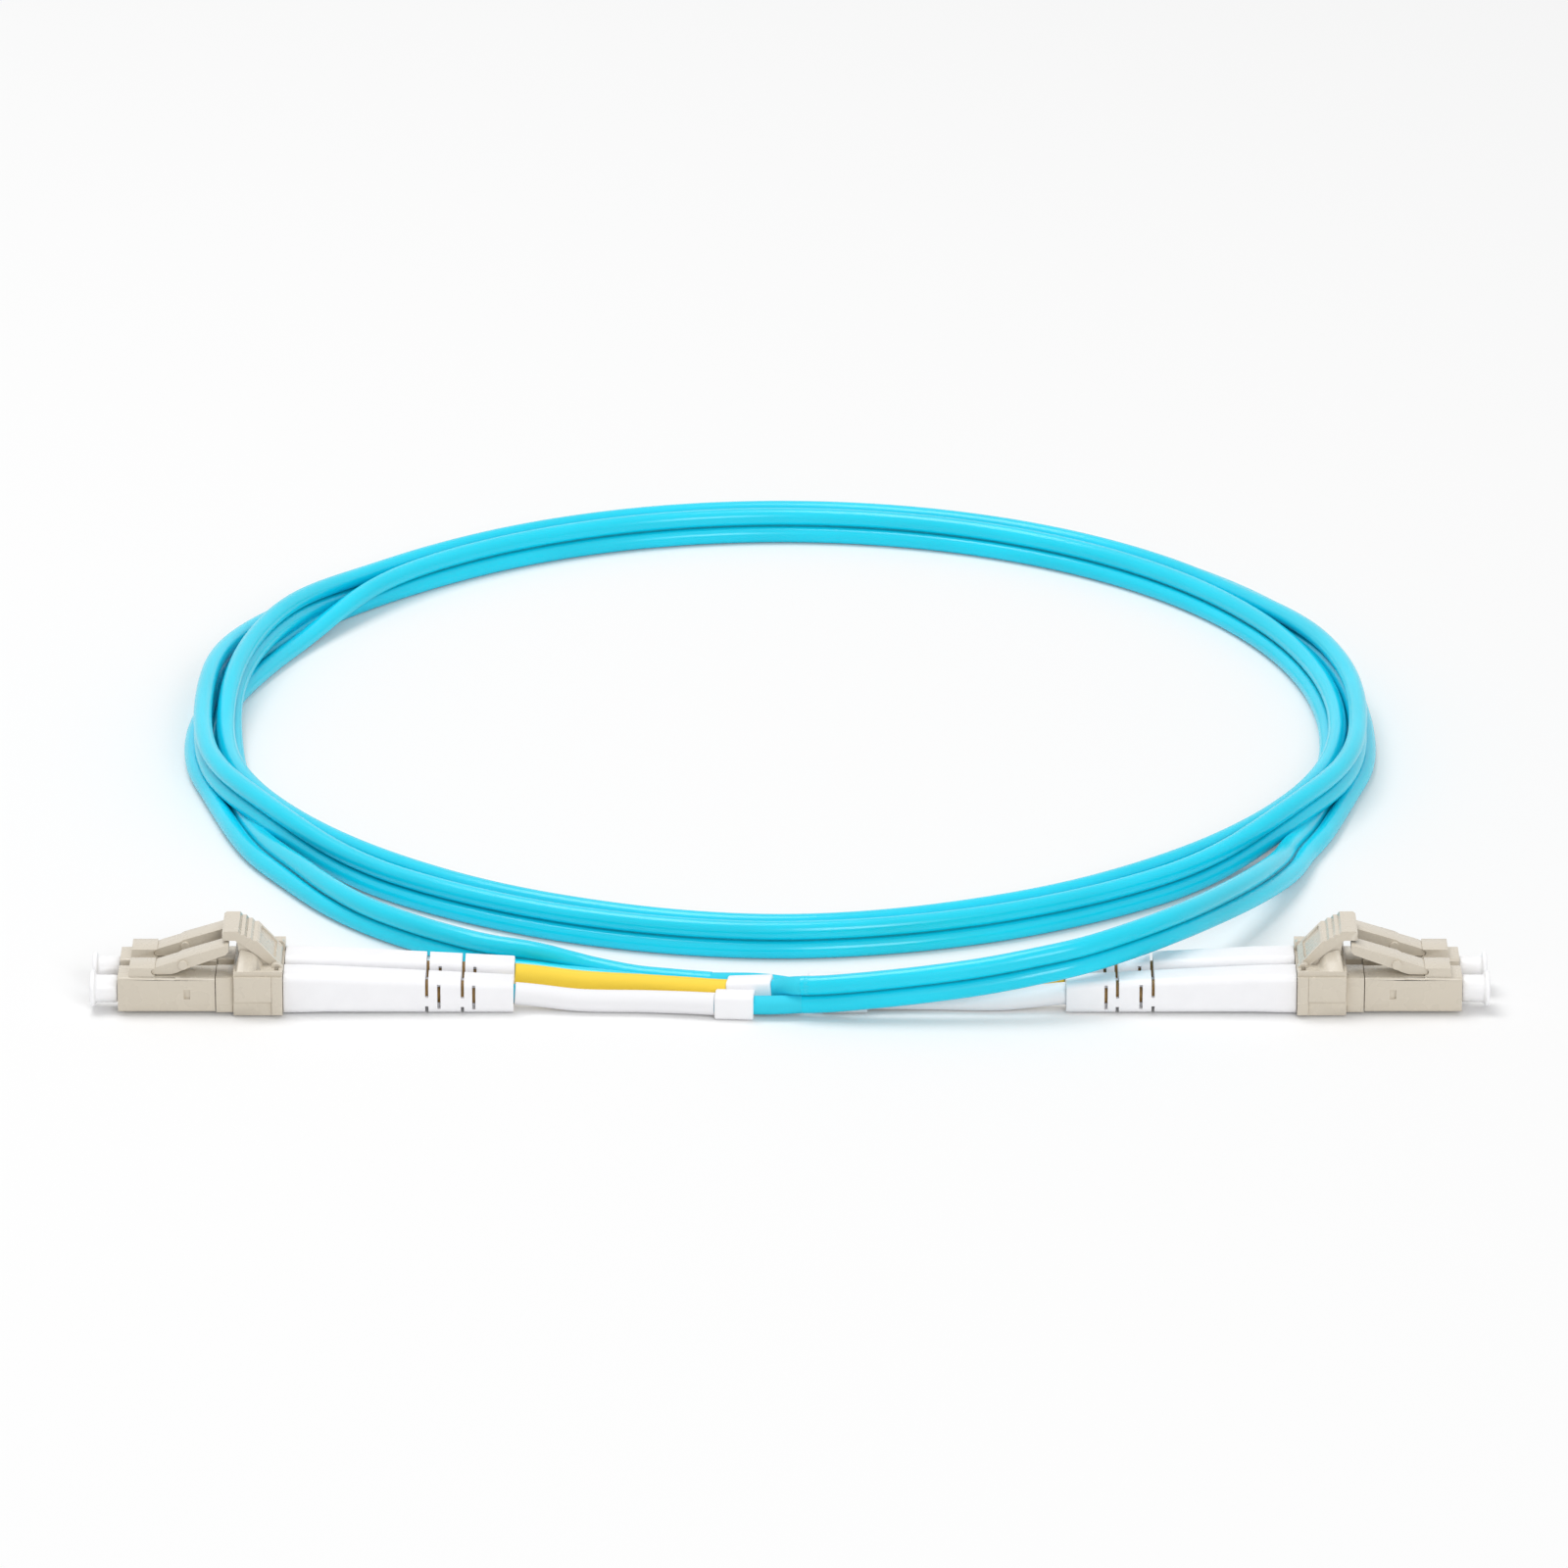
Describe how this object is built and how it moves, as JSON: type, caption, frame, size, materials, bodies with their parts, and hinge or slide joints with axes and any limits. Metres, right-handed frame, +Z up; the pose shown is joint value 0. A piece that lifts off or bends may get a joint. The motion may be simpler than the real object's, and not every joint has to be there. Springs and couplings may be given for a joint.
{
  "type": "fiber optic patch cord",
  "caption": "Duplex fiber optic patch cord: an aqua zip cord wound in one flat coil, with a paired two-channel plug, trigger latch, boots and dust caps at each end.",
  "frame": {"origin": "on the surface the cord lies on, midway between the two plugs", "axes": "+X from the left plug to the right plug, +Y towards the coil, +Z up"},
  "size_m": [0.1728, 0.1855, 0.0105],
  "materials": {
    "beige": "satin moulded",
    "cap": "soft translucent",
    "boot": "soft satin elastomer",
    "marker": "satin",
    "yellow_sleeve": "satin tube",
    "white_sleeve": "satin tube",
    "aqua_jacket": "satin extruded jacket",
    "buffer": "satin",
    "ceramic": "polished ceramic",
    "steel": "turned",
    "brass": "drawn"
  },
  "bodies": {
    "root": {"ferrule_spring_left_back": "steel", "plug_housing_left_back": "beige", "rear_body_left_back": "beige", "crimp_ring_left_back": "brass", "boot_left_back": "boot", "buffered_fibre_left_back": "buffer", "leg_jacket_left_back": "aqua_jacket", "leg_sleeve_left_back": "yellow_sleeve", "id_marker_left_back": "marker", "ferrule_spring_left_front": "steel", "plug_housing_left_front": "beige", "rear_body_left_front": "beige", "crimp_ring_left_front": "brass", "boot_left_front": "boot", "buffered_fibre_left_front": "buffer", "leg_jacket_left_front": "aqua_jacket", "leg_sleeve_left_front": "white_sleeve", "id_marker_left_front": "marker", "ferrule_spring_right_back": "steel", "plug_housing_right_back": "beige", "rear_body_right_back": "beige", "crimp_ring_right_back": "brass", "boot_right_back": "boot", "buffered_fibre_right_back": "buffer", "leg_jacket_right_back": "aqua_jacket", "leg_sleeve_right_back": "yellow_sleeve", "id_marker_right_back": "marker", "ferrule_spring_right_front": "steel", "plug_housing_right_front": "beige", "rear_body_right_front": "beige", "crimp_ring_right_front": "brass", "boot_right_front": "boot", "buffered_fibre_right_front": "buffer", "leg_jacket_right_front": "aqua_jacket", "leg_sleeve_right_front": "white_sleeve", "id_marker_right_front": "marker", "duplex_clip_left": "beige", "duplex_clip_right": "beige", "zip_lead_left": "aqua_jacket", "zip_coil": "aqua_jacket", "zip_lead_right": "aqua_jacket"},
    "trigger_left": {"trigger_left": "beige"},
    "latch_arm_left_back": {"latch_arm_left_back": "beige"},
    "dust_cap_left_back": {"dust_cap_left_back": "cap"},
    "ferrule_left_back": {"ferrule_left_back": "ceramic", "ferrule_flange_left_back": "steel"},
    "latch_arm_left_front": {"latch_arm_left_front": "beige"},
    "dust_cap_left_front": {"dust_cap_left_front": "cap"},
    "ferrule_left_front": {"ferrule_left_front": "ceramic", "ferrule_flange_left_front": "steel"},
    "trigger_right": {"trigger_right": "beige"},
    "latch_arm_right_back": {"latch_arm_right_back": "beige"},
    "dust_cap_right_back": {"dust_cap_right_back": "cap"},
    "ferrule_right_back": {"ferrule_right_back": "ceramic", "ferrule_flange_right_back": "steel"},
    "latch_arm_right_front": {"latch_arm_right_front": "beige"},
    "dust_cap_right_front": {"dust_cap_right_front": "cap"},
    "ferrule_right_front": {"ferrule_right_front": "ceramic", "ferrule_flange_right_front": "steel"}
  },
  "joints": [
    {"name": "trigger_press_left", "type": "hinge", "parent": "root", "child": "trigger_left", "pos_m": [-0.0633, 0, 0.00575], "axis": [0, -1, 0], "range_deg": [0, 8], "stiffness_Nm_per_rad": 0.02},
    {"name": "latch_flex_left_back", "type": "hinge", "parent": "root", "child": "latch_arm_left_back", "pos_m": [-0.0783, 0.00313, 0.00561], "axis": [0, 1, 0], "range_deg": [0, 4.5]},
    {"name": "cap_pull_left_back", "type": "slide", "parent": "root", "child": "dust_cap_left_back", "axis": [-1, 0, 0], "range_m": [0, 0.012]},
    {"name": "ferrule_push_left_back", "type": "slide", "parent": "root", "child": "ferrule_left_back", "axis": [1, 0, 0], "range_m": [0, 0.001], "stiffness_N_per_m": 1500, "deforming": ["ferrule_spring_left_back"]},
    {"name": "latch_flex_left_front", "type": "hinge", "parent": "root", "child": "latch_arm_left_front", "pos_m": [-0.0783, -0.00313, 0.00561], "axis": [0, 1, 0], "range_deg": [0, 4.5]},
    {"name": "cap_pull_left_front", "type": "slide", "parent": "root", "child": "dust_cap_left_front", "axis": [-1, 0, 0], "range_m": [0, 0.012]},
    {"name": "ferrule_push_left_front", "type": "slide", "parent": "root", "child": "ferrule_left_front", "axis": [1, 0, 0], "range_m": [0, 0.001], "stiffness_N_per_m": 1500, "deforming": ["ferrule_spring_left_front"]},
    {"name": "trigger_press_right", "type": "hinge", "parent": "root", "child": "trigger_right", "pos_m": [0.0633, 0, 0.00575], "axis": [0, 1, 0], "range_deg": [0, 8], "stiffness_Nm_per_rad": 0.02},
    {"name": "latch_flex_right_back", "type": "hinge", "parent": "root", "child": "latch_arm_right_back", "pos_m": [0.0783, 0.00313, 0.00561], "axis": [0, -1, 0], "range_deg": [0, 4.5]},
    {"name": "cap_pull_right_back", "type": "slide", "parent": "root", "child": "dust_cap_right_back", "axis": [1, 0, 0], "range_m": [0, 0.012]},
    {"name": "ferrule_push_right_back", "type": "slide", "parent": "root", "child": "ferrule_right_back", "axis": [-1, 0, 0], "range_m": [0, 0.001], "stiffness_N_per_m": 1500, "deforming": ["ferrule_spring_right_back"]},
    {"name": "latch_flex_right_front", "type": "hinge", "parent": "root", "child": "latch_arm_right_front", "pos_m": [0.0783, -0.00313, 0.00561], "axis": [0, -1, 0], "range_deg": [0, 4.5]},
    {"name": "cap_pull_right_front", "type": "slide", "parent": "root", "child": "dust_cap_right_front", "axis": [1, 0, 0], "range_m": [0, 0.012]},
    {"name": "ferrule_push_right_front", "type": "slide", "parent": "root", "child": "ferrule_right_front", "axis": [-1, 0, 0], "range_m": [0, 0.001], "stiffness_N_per_m": 1500, "deforming": ["ferrule_spring_right_front"]}
  ],
  "couplings": [
    {"joint": "latch_flex_left_back", "follows": "trigger_press_left", "ratio": 0.56},
    {"joint": "latch_flex_left_front", "follows": "trigger_press_left", "ratio": 0.56},
    {"joint": "latch_flex_right_back", "follows": "trigger_press_right", "ratio": 0.56},
    {"joint": "latch_flex_right_front", "follows": "trigger_press_right", "ratio": 0.56}
  ]
}
